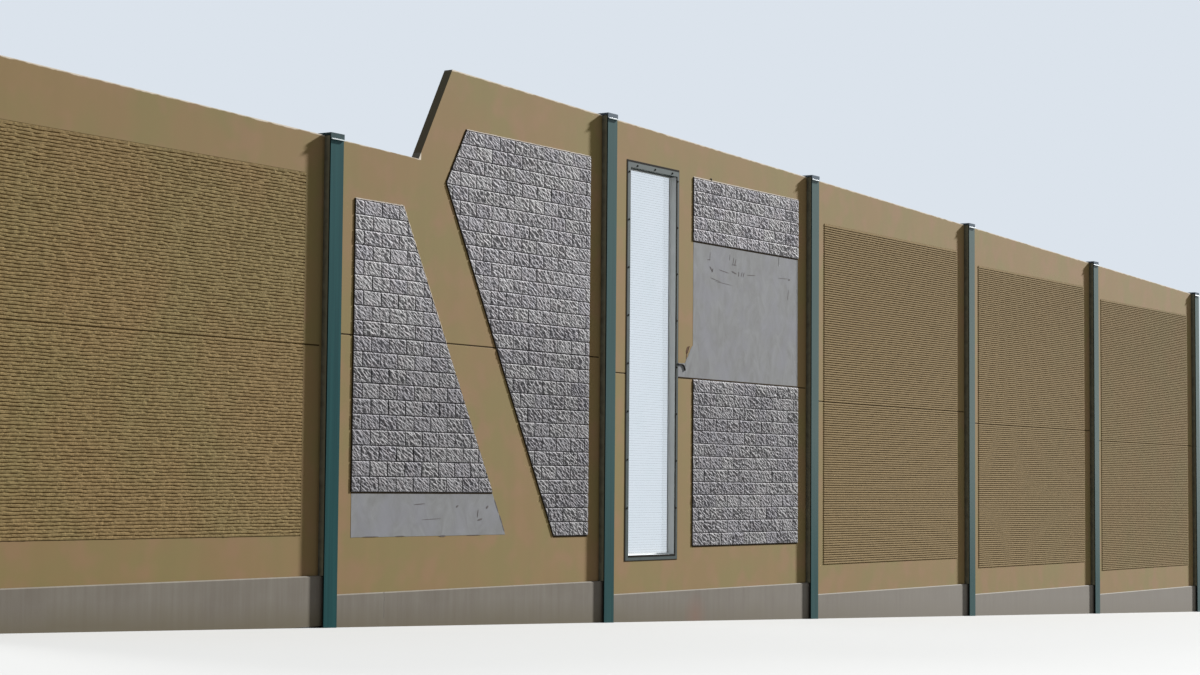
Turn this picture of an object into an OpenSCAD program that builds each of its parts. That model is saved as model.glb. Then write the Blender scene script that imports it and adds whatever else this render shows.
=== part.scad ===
// Highway noise barrier: six bays of concrete panels between steel posts, stepping down a slope.
// Millimetres. +X runs along the wall to the right as the road sees it, +Y into the wall, +Z up.
// The origin is the centre of the foot of the lowest end post, post_6.

/* [Wall] */
// Spacing of the posts along the wall
bay = 5000; // [4000:10:6000]
// Drop of the wall from one bay to the next
fall = 165; // [100:1:220]
// Extra step between the first bay and the second
first_rise = 30; // [0:1:100]
// Depth of the posts' feet below the plinth that stands lowest beside them
foot_drop = 10; // [5:1:100]

/* [Posts] */
// Width of a post's flanges
flange_w = 200; // [160:1:240]
// Depth of a post from its front face to its back face
post_d = 200; // [180:1:280]
// Thickness of the flanges
flange_t = 15; // [8:0.5:20]
// Thickness of the web between the flanges
web_t = 9; // [6:0.5:14]
// Radius between web and flange
root_r = 18; // [10:1:24]

/* [Post caps] */
// Height of a cap's top above the panels beside it
cap_rise = 30; // [26:1:60]
// Thickness of the cap's sheet
cap_t = 4; // [2:0.5:6]
// Height of the cap's front and back, without the drip lip
cap_skirt = 52; // [30:1:90]
// Length of the drip lip that leans outward
lip_len = 20; // [8:1:30]
// Height of the cap's ends, over the panels
cap_end = 22; // [10:0.5:24]

/* [Plinths] */
// Height of a plinth
plinth_h = 500; // [350:5:800]
// Thickness of a plinth
plinth_t = 140; // [120:1:150]
// Chamfer along a plinth's top front edge
plinth_chamfer = 10; // [2:1:15]

/* [Panels] */
// Thickness of a panel
panel_t = 110; // [80:1:130]
// Height of the lower panels
lower_h_std = 2630; // [2000:5:3200]
// Height of the first bay's lower panel
lower_h_first = 2300; // [1800:5:2800]
// Height of the upper panels at their left end
upper_h_std = 3050; // [2500:5:3600]
// Height of the first bay's upper panel at its left end
upper_h_first = 2290; // [1900:5:2800]
// Height of the second bay's upper panel at its left end, below the step
upper_h_low = 1985; // [1600:5:2400]
// Distance of the step's foot from the left post's axis
step_x = 1410; // [900:5:2200]
// Lean of the step's side, along the wall for each unit of height
step_lean = 0.54; // [0.1:0.01:0.8]
// Width of the shallow rebate at a panel's ends
rebate_w = 110; // [90:1:160]
// Depth of that rebate
rebate_d = 10; // [4:1:20]
// Width of the ridge that locks two panels together
ridge_w = 40; // [24:1:60]
// Height of that ridge
ridge_h = 20; // [10:1:40]
// Chamfer of the panels' edges along the joint
joint_chamfer = 10; // [3:0.5:15]

/* [Ribbed fields] */
// Distance of a field's left and right edge from the posts' axes
field_left = 385; // [250:5:600]
field_right = 385; // [250:5:600]
// Height of a field's foot above the plinth
rib_foot = 400; // [200:5:600]
// Distance of a field's top below the panel's top at its left end
rib_top = 590; // [450:5:800]
// The same distance in the first bay
rib_top_first = 575; // [450:5:800]
// Spacing of the ribs
rib_pitch = 32; // [24:1:60]
// Depth of the ribs
rib_depth = 12; // [6:1:20]
// Width of the groove's floor between two ribs
rib_groove = 6; // [3:0.5:12]
// Width of a rib's slanted flank
rib_flank = 5; // [2:0.5:8]
// Depth of the recess that a ribbed layer lies in
recess_d = 12; // [6:1:30]
// Height of the ribs above the panel's face
rib_proud = 6; // [2:1:20]

/* [Stone fields] */
// Thickness of the stone slabs
stone_t = 14; // [8:1:40]
// Left field: left edge, foot, top and right end of its top
trap_left = 380; // [250:5:600]
trap_foot = 1030; // [400:5:1400]
trap_top = 4035; // [3400:5:4200]
trap_top_right = 1155; // [700:5:1300]
// Right field: right edge, foot, top, left end of its top, and its left corner
pent_right = 4640; // [4400:5:4700]
pent_foot = 538; // [300:1:900]
pent_top = 4987; // [4500:1:5030]
pent_top_left = 2240; // [2150:5:3000]
pent_corner_x = 1890; // [1850:5:2600]
pent_corner_z = 4367; // [3800:1:4480]
// Third bay: left and right edge of its stone
stone_left = 1965; // [1700:5:2600]
stone_right = 4640; // [4400:5:4700]
// Third bay: foot of the lower field, foot and top of the upper strip
stone_foot = 541; // [300:1:900]
strip_foot = 4371; // [3600:1:4600]
strip_top = 5172; // [4900:1:5200]

/* [Window] */
// Clear opening: left edge, width, sill and height
win_left = 510; // [400:5:700]
win_w = 1035; // [700:5:1060]
win_sill = 450; // [300:5:900]
win_h = 4687; // [3600:1:4700]
// Width of the frame's front flange
frame_w = 60; // [40:1:80]
// Thickness of that flange
frame_t = 4; // [2:0.5:8]
// Thickness of the frame's lining
lining_t = 6; // [3:0.5:12]
// Thickness of the pane
pane_t = 20; // [12:1:25]
// Height of the beads that hold the pane
bead_h = 16; // [10:1:30]
// Thickness of the front bead
bead_t = 10; // [4:1:20]

/* [Seals] */
// Width of the sealing strips behind the front flanges
seal_w = 40; // [20:1:60]

/* [Clearances] */
// Gap between a panel's end and the curve beside a post's web
end_gap = 7.5; // [3:0.5:14]
// Gap around a ribbed layer, and between a layer's two parts at the joint
layer_gap = 3.5; // [1:0.5:8]
// Gap in the locking ridge, around the frame and around the pane
fit_gap = 3; // [1:0.5:6]
// Gap between a post and the sides of its cap
cap_gap = 1; // [0.5:0.5:3]

/* [Hidden] */
// Number of bays
bays = 6;
slope = fall / bay;
front = -post_d / 2;
panel_back = post_d / 2 - flange_t;
panel_face = panel_back - panel_t;
tongue_face = panel_face + rebate_d;
end_x = web_t / 2 + root_r + end_gap;
rebate_x = end_x + rebate_w;
step_z = upper_h_low - slope * step_x;
peak_x = (step_x + step_lean * (upper_h_std - step_z)) / (1 + step_lean * slope);
cut = 1;
$fn = 48;

steel = [0.36, 0.45, 0.46];
cap_steel = [0.55, 0.60, 0.63];
plain_concrete = [0.58, 0.56, 0.52];
tan_concrete = [0.62, 0.55, 0.43];
rib_concrete = [0.52, 0.46, 0.34];
stone_grey = [0.56, 0.55, 0.57];
frame_grey = [0.50, 0.54, 0.54];
pane_clear = [0.75, 0.82, 0.84, 0.5];
seal_dark = [0.20, 0.20, 0.20];

function post_x(k) = (k - bays) * bay;
function plinth_top(b) = foot_drop + plinth_h + (bays - b) * fall + (b == 1 ? first_rise : 0);
function lower_h(b) = b == 1 ? lower_h_first : lower_h_std;
function upper_h(b) = b == 1 ? upper_h_first : upper_h_std;
function left_h(b) = b == 2 ? upper_h_low : upper_h(b);
function joint_z(b) = plinth_top(b) + lower_h(b);
function left_top(b) = joint_z(b) + left_h(b);
function right_top(b) = joint_z(b) + upper_h(b) - fall;
function foot_z(k) = k < bays ? plinth_top(k + 1) - plinth_h - foot_drop : 0;
function shoulder_z(k) = k == 0 ? left_top(1) : k == bays ? right_top(bays) : max(right_top(k), left_top(k + 1));
function post_top(k) = shoulder_z(k) + cap_rise - cap_t;

// Outline drawn as the road sees it (along the wall, up), made solid between two depths
module elevation(y_front, y_back) {
  translate([0, y_back, 0]) rotate([90, 0, 0]) linear_extrude(y_back - y_front) children();
}

// Profile drawn across the wall (depth, up), run along the wall
module along_wall(x0, x1) {
  translate([x0, 0, 0]) rotate([90, 0, 90]) linear_extrude(x1 - x0) children();
}

// Places what is measured from a bay's left post and its plinth's top
module bay_at(b) {
  translate([post_x(b - 1), 0, plinth_top(b)]) children();
}

module upright(x0, x1, z0, z1) {
  translate([x0, z0]) square([x1 - x0, z1 - z0]);
}

// Space between a post's flanges on one side of its web, with round inner corners
module pocket_outline() {
  half = panel_back;
  inner = web_t / 2;
  outer = flange_w / 2 + cut;
  translate([inner + root_r, -half]) square([outer - inner - root_r, 2 * half]);
  translate([inner, -half + root_r]) square([outer - inner, 2 * (half - root_r)]);
  for (s = [-1, 1]) translate([inner + root_r, s * (half - root_r)]) circle(r = root_r);
}

module h_section() {
  difference() {
    square([flange_w, post_d], center = true);
    pocket_outline();
    mirror([1, 0]) pocket_outline();
  }
}

module post(k) {
  color(steel) translate([post_x(k), 0, foot_z(k)]) linear_extrude(post_top(k) - foot_z(k)) h_section();
}

// Front or back sheet of a cap: hangs straight, then leans outward as a drip lip
module skirt_profile() {
  y0 = -post_d / 2 - cap_gap;
  lean = lip_len * 0.64;
  drop = lip_len * 0.77;
  polygon([
    [y0, cap_t], [y0 - cap_t, cap_t], [y0 - cap_t, -cap_skirt + cap_t],
    [y0 - cap_t - lean, -cap_skirt + cap_t - drop], [y0 - lean + 1, -cap_skirt + cap_t - drop - 2.6],
    [y0, -cap_skirt + cap_t - 1.2]
  ]);
}

module post_cap(k) {
  half_w = flange_w / 2 + cap_gap + cap_t;
  half_d = post_d / 2 + cap_gap + cap_t;
  color(cap_steel) translate([post_x(k), 0, post_top(k)]) {
    translate([-half_w, -half_d, 0]) cube([2 * half_w, 2 * half_d, cap_t]);
    along_wall(-half_w, half_w) skirt_profile();
    mirror([0, 1, 0]) along_wall(-half_w, half_w) skirt_profile();
    for (x = [-half_w, half_w - cap_t])
      translate([x, -half_d, cap_t - cap_end]) cube([cap_t, 2 * half_d, cap_end]);
  }
}

module plinth(b) {
  plinth_face = panel_back - plinth_t;
  color(plain_concrete) bay_at(b) along_wall(end_x, bay - end_x) polygon([
    [panel_back, -plinth_h], [plinth_face, -plinth_h], [plinth_face, -plinth_chamfer],
    [plinth_face + plinth_chamfer, 0], [panel_back, 0]
  ]);
}

// Plan of a panel: full thickness between the rebates, a thinner end behind each post's flange
module panel_plan() {
  polygon([
    [end_x, tongue_face], [rebate_x, tongue_face], [rebate_x, panel_face],
    [bay - rebate_x, panel_face], [bay - rebate_x, tongue_face], [bay - end_x, tongue_face],
    [bay - end_x, panel_back], [end_x, panel_back]
  ]);
}

// Cross-section of the locking ridge, grown by a gap for the groove that takes it
module ridge_profile(gap) {
  mid = (tongue_face + panel_back) / 2;
  half = ridge_w / 2 + gap;
  polygon([
    [mid - half, -cut], [mid - half, 0], [mid - half + ridge_h / 4, ridge_h + gap],
    [mid + half - ridge_h / 4, ridge_h + gap], [mid + half, 0], [mid + half, -cut]
  ]);
}

// Edges cut off along the joint, on the panel's face and on its back
module joint_chamfers(b) {
  for (y = [panel_face, panel_back])
    translate([0, 0, lower_h(b)]) along_wall(0, bay) polygon([
      [y - joint_chamfer, 0], [y, -joint_chamfer], [y + joint_chamfer, 0], [y, joint_chamfer]
    ]);
}

function rib_z1(b) = lower_h(b) + upper_h(b) - (b == 1 ? rib_top_first : rib_top);
function has_ribs(b) = b == 1 || b >= 4;

module rib_recess(b) {
  g = layer_gap;
  elevation(panel_face - cut, panel_face + recess_d)
    upright(field_left - g, bay - field_right + g, rib_foot - g, rib_z1(b) + g);
}

module window_hole() {
  g = lining_t + fit_gap;
  elevation(panel_face - cut, panel_back + cut)
    upright(win_left - g, win_left + win_w + g, win_sill - g, win_sill + win_h + g);
}

module lower_panel(b) {
  color(tan_concrete) bay_at(b) difference() {
    union() {
      linear_extrude(lower_h(b)) panel_plan();
      translate([0, 0, lower_h(b)]) along_wall(end_x, bay - end_x) ridge_profile(0);
    }
    joint_chamfers(b);
    if (has_ribs(b)) rib_recess(b);
    if (b == 3) window_hole();
  }
}

// Outline of an upper panel: its top follows the wall's slope, with a leaning step in the second bay
module upper_outline(b) {
  h = upper_h(b);
  if (b == 2)
    polygon([[0, 0], [bay, 0], [bay, h - fall], [peak_x, h - slope * peak_x], [step_x, step_z], [0, upper_h_low]]);
  else
    polygon([[0, 0], [bay, 0], [bay, h - fall], [0, h]]);
}

module upper_panel(b) {
  color(tan_concrete) bay_at(b) difference() {
    translate([0, 0, lower_h(b)]) intersection() {
      linear_extrude(upper_h(b)) panel_plan();
      elevation(panel_face - cut, panel_back + cut) upper_outline(b);
    }
    translate([0, 0, lower_h(b)]) along_wall(0, bay) ridge_profile(fit_gap);
    joint_chamfers(b);
    if (has_ribs(b)) rib_recess(b);
    if (b == 3) window_hole();
  }
}

// Cross-section of a ribbed layer: whole ribs between two heights
module rib_profile(z0, z1) {
  n = round((z1 - z0) / rib_pitch);
  p = (z1 - z0) / n;
  floor_y = panel_face + recess_d;
  crest = panel_face - rib_proud;
  groove = crest + rib_depth;
  a = rib_groove / 2;
  polygon(concat(
    [[floor_y, z1], [floor_y, z0], [groove, z0]],
    [for (i = [0 : n - 1]) each [
      [groove, z0 + i * p + a], [crest, z0 + i * p + a + rib_flank],
      [crest, z0 + (i + 1) * p - a - rib_flank], [groove, z0 + (i + 1) * p - a]
    ]],
    [[groove, z1]]
  ));
}

module rib_field(b) {
  color(rib_concrete) bay_at(b) {
    along_wall(field_left, bay - field_right) rib_profile(rib_foot, lower_h(b) - layer_gap);
    along_wall(field_left, bay - field_right) rib_profile(lower_h(b) + layer_gap, rib_z1(b));
  }
}

// Slab of stone on a panel's face, parted at the joint between the two panels
module stone_slab(b) {
  color(stone_grey) bay_at(b) elevation(panel_face - stone_t, panel_face) difference() {
    children();
    upright(0, bay, lower_h(b) - layer_gap, lower_h(b) + layer_gap);
  }
}

module stone_trapezoid() {
  foot_right = trap_top_right + step_lean * (trap_top - trap_foot);
  stone_slab(2) polygon([
    [trap_left, trap_foot], [foot_right, trap_foot], [trap_top_right, trap_top], [trap_left, trap_top]
  ]);
}

module stone_pentagon() {
  foot_left = pent_corner_x + step_lean * (pent_corner_z - pent_foot);
  stone_slab(2) polygon([
    [foot_left, pent_foot], [pent_right, pent_foot], [pent_right, pent_top],
    [pent_top_left, pent_top], [pent_corner_x, pent_corner_z]
  ]);
}

module stone_strip() {
  stone_slab(3) upright(stone_left - 15, stone_right, strip_foot, strip_top);
}

module stone_field() {
  stone_slab(3) upright(stone_left, stone_right, stone_foot, lower_h(3) - layer_gap);
}

// Ring around the window: grown outward by out, reaching inward by inside
module window_ring(out, inside) {
  difference() {
    upright(win_left - out, win_left + win_w + out, win_sill - out, win_sill + win_h + out);
    upright(win_left + inside, win_left + win_w - inside, win_sill + inside, win_sill + win_h - inside);
  }
}

module window_frame() {
  pane_back = panel_back - frame_t;
  pane_front = pane_back - pane_t;
  color(frame_grey) bay_at(3) {
    elevation(panel_face - frame_t, panel_face) window_ring(frame_w, 0);
    elevation(panel_face - frame_t, panel_back) window_ring(lining_t, 0);
    elevation(pane_back, panel_back) window_ring(lining_t, bead_h);
    elevation(pane_front - bead_t, pane_front) window_ring(lining_t, bead_h);
  }
}

module window_pane() {
  y1 = panel_back - frame_t;
  color(pane_clear) bay_at(3) elevation(y1 - pane_t, y1)
    upright(win_left + fit_gap, win_left + win_w - fit_gap, win_sill, win_sill + win_h - fit_gap);
}

// Strips that fill the space between a post's front flange and the panels behind it
module seal(k, side, z0, z1) {
  y0 = front + flange_t;
  x = side > 0 ? flange_w / 2 - seal_w : -flange_w / 2;
  translate([post_x(k) + x, y0, z0]) cube([seal_w, tongue_face - y0, z1 - z0]);
}

module front_seals() {
  color(seal_dark) for (b = [1 : bays]) {
    seal(b - 1, 1, plinth_top(b), left_top(b) - slope * flange_w / 2);
    seal(b, -1, plinth_top(b), right_top(b));
  }
}

post(0);  // post_0
post(1);  // post_1
post(2);  // post_2
post(3);  // post_3
post(4);  // post_4
post(5);  // post_5
post(6);  // post_6
post_cap(0);  // post_cap_0
post_cap(1);  // post_cap_1
post_cap(2);  // post_cap_2
post_cap(3);  // post_cap_3
post_cap(4);  // post_cap_4
post_cap(5);  // post_cap_5
post_cap(6);  // post_cap_6
plinth(1);  // plinth_1
plinth(2);  // plinth_2
plinth(3);  // plinth_3
plinth(4);  // plinth_4
plinth(5);  // plinth_5
plinth(6);  // plinth_6
lower_panel(1);  // lower_panel_1
lower_panel(2);  // lower_panel_2
lower_panel(3);  // lower_panel_3
lower_panel(4);  // lower_panel_4
lower_panel(5);  // lower_panel_5
lower_panel(6);  // lower_panel_6
upper_panel(1);  // upper_panel_1
upper_panel(2);  // upper_panel_2
upper_panel(3);  // upper_panel_3
upper_panel(4);  // upper_panel_4
upper_panel(5);  // upper_panel_5
upper_panel(6);  // upper_panel_6
rib_field(1);  // rib_field_1
rib_field(4);  // rib_field_4
rib_field(5);  // rib_field_5
rib_field(6);  // rib_field_6
stone_trapezoid();
stone_pentagon();
stone_strip();
stone_field();
window_frame();
window_pane();
front_seals();
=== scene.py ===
# %% [markdown]
# # A highway noise barrier
# Six bays of concrete panels stand between steel posts and step down a slope. Four bays carry
# rough ribbed layers that swallow sound, one carries two slanting fields of split stone, and one
# has a tall window beside its stone. Some of the stone has fallen off and left bare patches.
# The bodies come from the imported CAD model. This file gives them their surfaces, and adds what
# is too rough for CAD: the broken ribs, the chiselled blocks, the threads in the pane, the damage.

# %% Load the fixed frame
import math
import random
import time

import bmesh
import bpy
import numpy as np
from mathutils import Matrix, Vector


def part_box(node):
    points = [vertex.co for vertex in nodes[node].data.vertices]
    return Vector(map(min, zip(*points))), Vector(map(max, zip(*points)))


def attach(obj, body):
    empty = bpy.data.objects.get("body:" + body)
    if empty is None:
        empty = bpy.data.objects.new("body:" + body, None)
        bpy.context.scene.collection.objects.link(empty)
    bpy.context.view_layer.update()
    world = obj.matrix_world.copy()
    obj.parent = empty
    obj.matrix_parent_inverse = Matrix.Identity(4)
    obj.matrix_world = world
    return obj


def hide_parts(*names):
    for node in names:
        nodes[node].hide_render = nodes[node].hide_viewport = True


started = time.time()
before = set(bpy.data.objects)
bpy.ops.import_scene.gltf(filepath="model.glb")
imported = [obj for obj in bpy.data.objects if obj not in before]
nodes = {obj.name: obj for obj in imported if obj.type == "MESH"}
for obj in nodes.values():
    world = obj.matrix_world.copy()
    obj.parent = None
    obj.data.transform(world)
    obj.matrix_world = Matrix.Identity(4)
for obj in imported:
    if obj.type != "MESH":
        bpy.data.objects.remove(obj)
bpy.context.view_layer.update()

# %% [markdown]
# ## Camera
# The photograph was taken from 15 m in front of the wall and well to its left. A camera's pose
# is easiest to read as its turn about the vertical, its tilt and its roll, so the three axes are
# built from those angles and handed over as one rotation.

# %% Camera at the photograph's place
CAMERA_PLACE = Vector((-42.829, -15.3982, 2.2673))
TURN, TILT, ROLL = (math.radians(v) for v in (34.1009, 3.6887, 0.4714))
SENSOR_MM, LENS_MM, FAR_CLIP = 36, 69.724, 2000
ahead = Vector((math.cos(TURN) * math.cos(TILT), math.sin(TURN) * math.cos(TILT), math.sin(TILT)))
level = Vector((math.sin(TURN), -math.cos(TURN), 0))
above = level.cross(ahead)
right = level * math.cos(ROLL) + above * math.sin(ROLL)
upward = above * math.cos(ROLL) - level * math.sin(ROLL)

scene = bpy.context.scene
camera = bpy.data.objects.new("camera", bpy.data.cameras.new("camera"))
scene.collection.objects.link(camera)
camera.data.sensor_width = SENSOR_MM
camera.data.lens = LENS_MM
camera.data.clip_end = FAR_CLIP
camera.location = CAMERA_PLACE
camera.rotation_euler = Matrix((right, upward, -ahead)).transposed().to_euler()
scene.camera = camera
print("camera at", [round(v, 2) for v in camera.location], "lens", camera.data.lens)

# %% [markdown]
# ## Colours and nodes
# Colours are written as sRGB hex values, the way a colour picker shows them, and Blender's
# sockets want linear numbers, so one function turns them. Another adds one node with its
# settings and links. Most finishes are built in coats: a coat lays a colour over the tone below
# it where some measure runs from one number to another, and shading does that with brightness.

# %% Helpers for materials
def colour(hex_value):
    """Linear RGBA of an sRGB hex value."""
    parts = [int(hex_value[i:i + 2], 16) / 255 for i in (0, 2, 4)]
    return [p / 12.92 if p <= 0.04045 else ((p + 0.055) / 1.055) ** 2.4 for p in parts] + [1]


def feed(node, inputs):
    """Sets inputs to values, or links them to outputs; of a linked node it takes the live output."""
    for socket, value in inputs.items():
        if isinstance(value, bpy.types.Node):
            value = next(output for output in value.outputs if output.enabled)
        if isinstance(value, bpy.types.NodeSocket):
            node.id_data.links.new(value, node.inputs[socket])
        else:
            node.inputs[socket].default_value = value


def add(tree, kind, inputs=None, **settings):
    """Adds a node with its settings and inputs."""
    node = tree.nodes.new("ShaderNode" + kind)
    for name, value in settings.items():
        setattr(node, name, value)
    feed(node, inputs or {})
    return node


def new_material(name, rough=0.5, gloss=0.5, index=1.5, clear=0.0):
    """A material with its shader's plain numbers, and the object's own coordinates."""
    material = bpy.data.materials.new(name)
    material.use_nodes = True
    tree = material.node_tree
    feed(tree.nodes["Principled BSDF"], {"Roughness": rough, "Specular IOR Level": gloss, "IOR": index,
                                         "Transmission Weight": clear})
    return material, tree, add(tree, "TexCoord").outputs["Object"]


# Sockets of the Mix node that carry its share and its two colours
SHARE, UNDER, OVER = 0, 6, 7


def coat(tree, under, over, measure, begin=0.0, end=1.0, least=0.0, most=1.0):
    """Lays a colour over a tone, with a share that follows a measure from begin to end."""
    share = add(tree, "MapRange", {"Value": measure, "From Min": begin, "From Max": end,
                                   "To Min": least, "To Max": most})
    return add(tree, "Mix", {SHARE: share, UNDER: under, OVER: over}, data_type="RGBA")


def shade(tree, tone, measure, begin, end, least, most):
    """Scales a tone's brightness by a share that follows a measure from begin to end."""
    share = add(tree, "MapRange", {"Value": measure, "From Min": begin, "From Max": end,
                                   "To Min": least, "To Max": most})
    return add(tree, "VectorMath", {0: tone, "Scale": share}, operation="SCALE")


def finish(material, inputs):
    """Links a material's last nodes to its shader."""
    feed(material.node_tree.nodes["Principled BSDF"], inputs)
    print(material.name, "has", len(material.node_tree.nodes), "nodes")

print("white is", [round(v, 2) for v in colour("ffffff")])

# %% [markdown]
# ## Light
# Low sun from the right grazes the wall and draws every rib and chisel mark. One sun lamp does
# that, a plain grey world fills the shadows, and a weak lamp behind keeps the back readable.
# Rays that only look past the wall, or mirror, see a pale backdrop instead of the grey.

# %% Lamps and backdrop
SUN_DIRECTION = Vector((0.853, -0.2285, 0.469))
BACK_DIRECTION = Vector((0.25, 0.80, 0.55))


def sun_lamp(name, direction, strength, softness):
    """A sun whose light comes from a direction."""
    lamp = bpy.data.objects.new(name, bpy.data.lights.new(name, "SUN"))
    scene.collection.objects.link(lamp)
    lamp.data.energy = strength
    lamp.data.angle = math.radians(softness)
    lamp.rotation_euler = direction.to_track_quat("Z", "Y").to_euler()


sun_lamp("key_sun", SUN_DIRECTION, 9.0, 4)
sun_lamp("back_fill", BACK_DIRECTION, 1.0, 20)

world = bpy.data.worlds.new("studio")
scene.world = world
world.use_nodes = True
tree = world.node_tree
tree.nodes.clear()
ray = add(tree, "LightPath").outputs
looks = add(tree, "Math", {0: ray["Is Camera Ray"], 1: ray["Is Glossy Ray"]}, operation="MAXIMUM")
looks = add(tree, "Math", {0: looks, 1: ray["Is Transmission Ray"]}, operation="MAXIMUM")
fill_light = add(tree, "Background", {"Color": colour("eef4ff"), "Strength": 0.31})
backdrop = add(tree, "Background", {"Color": colour("dbe3ec"), "Strength": 1.0})
blend = add(tree, "MixShader", {0: looks, 1: fill_light, 2: backdrop})
add(tree, "OutputWorld", {"Surface": blend})
scene.view_settings.view_transform = "Standard"

# %% [markdown]
# ## Helpers for modelling
# Operators act on what is selected, so each step first deselects everything and then picks
# faces, edges or points by their place. These few functions are the hands of the whole lesson.

# %% Starting, selecting and moving
def deselect():
    if bpy.context.mode != "OBJECT":
        bpy.ops.object.mode_set(mode="OBJECT")
    bpy.ops.object.select_all(action="DESELECT")


def make_active(piece):
    deselect()
    piece.select_set(True)
    bpy.context.view_layer.objects.active = piece


def start(primitive, name, stretch=(1, 1, 1), **settings):
    """Adds a primitive on its own and opens it in edit mode, with its place in its mesh."""
    deselect()
    primitive(**settings)
    piece = bpy.context.object
    piece.name = piece.data.name = name
    piece.scale = stretch
    bpy.ops.object.transform_apply(location=True, rotation=True, scale=True)
    bpy.ops.object.mode_set(mode="EDIT")
    return piece


def start_cube(name, middle, lengths):
    return start(bpy.ops.mesh.primitive_cube_add, name, lengths, size=1, location=middle)


def start_grid(name, middle, width, height, columns, rows):
    """A flat upright grid that faces forwards."""
    return start(bpy.ops.mesh.primitive_grid_add, name, (width, height, 1), x_subdivisions=columns,
                 y_subdivisions=rows, size=1, location=middle, rotation=(math.pi / 2, 0, 0))


def start_edit(piece):
    make_active(piece)
    bpy.ops.object.mode_set(mode="EDIT")


def close_edit(piece):
    bpy.ops.object.mode_set(mode="OBJECT")
    return piece


def pick(piece, kind, test):
    """In edit mode, selects the faces or points whose middle passes a test."""
    bpy.ops.mesh.select_mode(type=kind)
    bpy.ops.mesh.select_all(action="DESELECT")
    mesh = bmesh.from_edit_mesh(piece.data)
    for item in {"VERT": mesh.verts, "FACE": mesh.faces}[kind]:
        if kind == "VERT":
            middle = item.co
        else:
            middle = sum((v.co for v in item.verts), Vector()) / len(item.verts)
        if test(middle):
            item.select_set(True)
    mesh.select_flush_mode()
    bmesh.update_edit_mesh(piece.data)


def pick_all():
    bpy.ops.mesh.select_all(action="SELECT")


def pick_rim():
    """In edit mode, selects the open edges."""
    bpy.ops.mesh.select_mode(type="EDGE")
    bpy.ops.mesh.select_all(action="DESELECT")
    bpy.ops.mesh.select_non_manifold()


def move(x=0, y=0, z=0):
    bpy.ops.transform.translate(value=(x, y, z))


def extrude(x=0, y=0, z=0):
    bpy.ops.mesh.extrude_region_move(TRANSFORM_OT_translate={"value": (x, y, z)})


# %% Modifiers, textures and point groups
def modify(piece, kind, **settings):
    """Adds a modifier with its settings and applies it at once."""
    make_active(piece)
    modifier = piece.modifiers.new(kind.lower(), kind)
    for name, value in settings.items():
        setattr(modifier, name, value)
    bpy.ops.object.modifier_apply(modifier=modifier.name)


def repeat(piece, count, step, **settings):
    """Repeats a mesh along one constant step."""
    modify(piece, "ARRAY", count=count, use_relative_offset=False, use_constant_offset=True,
           constant_offset_displace=step, **settings)


def roughen(piece, texture, axis, strength, group="", middle=0.5, space=None):
    """Moves a group's points along an axis by a texture, in the mesh's own space or an empty's."""
    coordinates = dict(texture_coords="OBJECT", texture_coords_object=space) if space else {}
    modify(piece, "DISPLACE", texture=texture, direction=axis, strength=strength, mid_level=middle,
           vertex_group=group, **coordinates)


def clouds(name, size, depth=2, contrast=1.0, brightness=1.0, hard=False):
    """A cloud texture for the Displace modifier; its size is in metres."""
    texture = bpy.data.textures.new(name, "CLOUDS")
    texture.noise_scale = size
    texture.noise_depth = depth
    texture.contrast = contrast
    texture.intensity = brightness
    texture.noise_type = "HARD_NOISE" if hard else "SOFT_NOISE"
    return texture


def points_of(piece):
    """All points of a mesh as an array of x, y, z."""
    place = np.empty(len(piece.data.vertices) * 3)
    piece.data.vertices.foreach_get("co", place)
    return place.reshape(-1, 3)


def name_points(piece, group, chosen, weight=1.0):
    """A vertex group of the points that a true/false array chooses."""
    made = piece.vertex_groups.get(group) or piece.vertex_groups.new(name=group)
    made.add([int(i) for i in np.nonzero(chosen)[0]], weight, "REPLACE")


# %% Joining and handing over
def join(pieces, name):
    make_active(pieces[0])
    for piece in pieces:
        piece.select_set(True)
    if len(pieces) > 1:
        bpy.ops.object.join()
    pieces[0].name = pieces[0].data.name = name
    return pieces[0]


def triangles(piece):
    piece.data.calc_loop_triangles()
    return len(piece.data.loop_triangles)


added = []


def hand_over(piece, material, replaced=None):
    """Gives a finished piece its material and body, and hides the CAD node it replaces, if any."""
    piece.data.materials.clear()
    piece.data.materials.append(material)
    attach(piece, "root")
    if replaced:
        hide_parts(replaced)
    added.append(piece)
    print(piece.name, triangles(piece), "triangles")

print("helpers ready")

# %% [markdown]
# ## Floor
# The floor follows the wall down its slope and hides the feet of the plinths. It is a stage and
# not part of the barrier, so it is one pale sheet.

# %% Pale sloping floor
SLOPE, FLOOR_HEIGHT, FLOOR_HALF = 0.033, 0.02, 800
floor = start(bpy.ops.mesh.primitive_plane_add, "floor", size=2 * FLOOR_HALF, location=(0, 0, FLOOR_HEIGHT))
for side in (-1, 1):
    pick(floor, "VERT", lambda p: p.x * side > 0)
    move(z=-SLOPE * side * FLOOR_HALF)
close_edit(floor)
# Light that the floor throws back at the wall would fill its shadows, so only rays from the
# camera and through glass see it pale; it keeps the wall's shadow for all
floor_paint, tree, place = new_material("pale_studio_floor", rough=0.9, gloss=0.2)
ray = add(tree, "LightPath").outputs
looks = add(tree, "Math", {0: ray["Is Camera Ray"], 1: ray["Is Transmission Ray"]}, operation="MAXIMUM")
finish(floor_paint, {"Base Color": coat(tree, colour("7d7c7a"), colour("b4b4b2"), looks)})
floor.data.materials.append(floor_paint)
print("floor at the wall's ends", [round(FLOOR_HEIGHT - SLOPE * x, 3) for x in (-30, 0)])

# %% [markdown]
# ## Places that the looks need
# The bays' posts, plinth tops and joints are read off the CAD nodes, and what only the photograph
# shows is placed in millimetres from them.

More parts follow.
